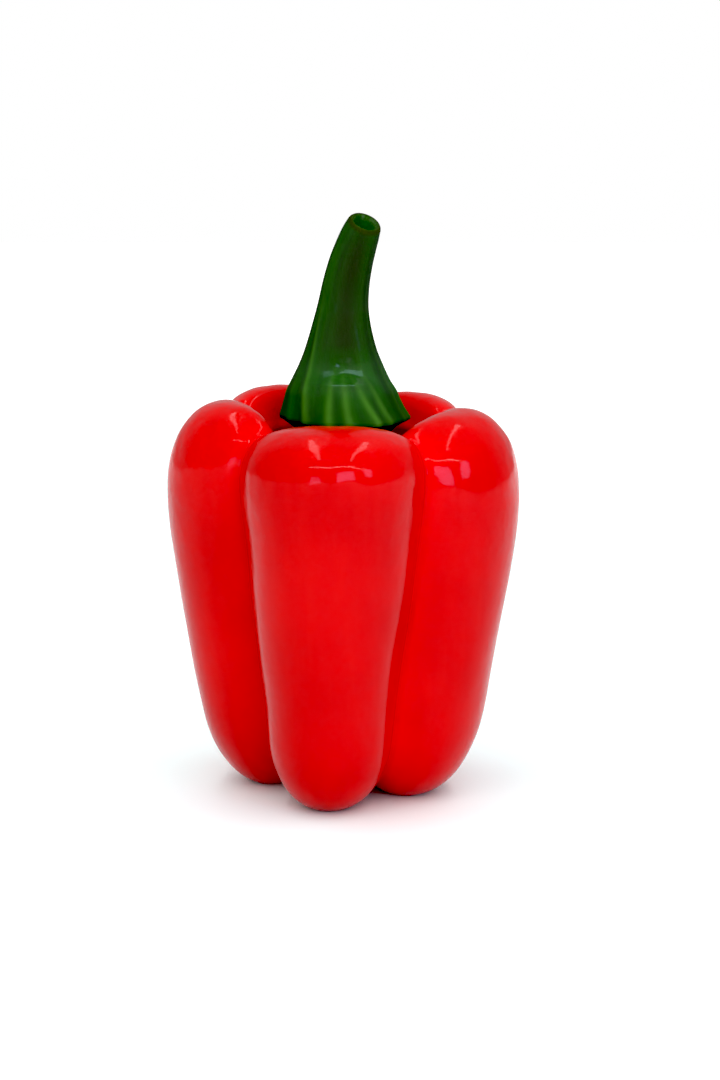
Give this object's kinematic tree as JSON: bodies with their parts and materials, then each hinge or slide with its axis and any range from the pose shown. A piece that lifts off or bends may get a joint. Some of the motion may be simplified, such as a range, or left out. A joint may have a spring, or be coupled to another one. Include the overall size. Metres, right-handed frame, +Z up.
{
  "type": "bell pepper",
  "caption": "Ripe bell pepper with deep rounded lobes and a hollow shoulder, standing on its lobe tips, with a fluted calyx and a curved, cut stem.",
  "frame": {"origin": "middle of the pepper's outline seen from above, at the height of the surface that it stands on", "axes": "+Z up along the pod's core towards the stem; +Y from the front lobe to the back; +X to the right, the way the stem's end leans"},
  "size_m": [0.0802, 0.0778, 0.1327],
  "materials": {
    "skin": "smooth, waxy and glossy red skin",
    "stem": "satin green, ribbed along its length"
  },
  "bodies": {
    "root": {"fruit": "skin", "stem": "stem"}
  },
  "joints": []
}
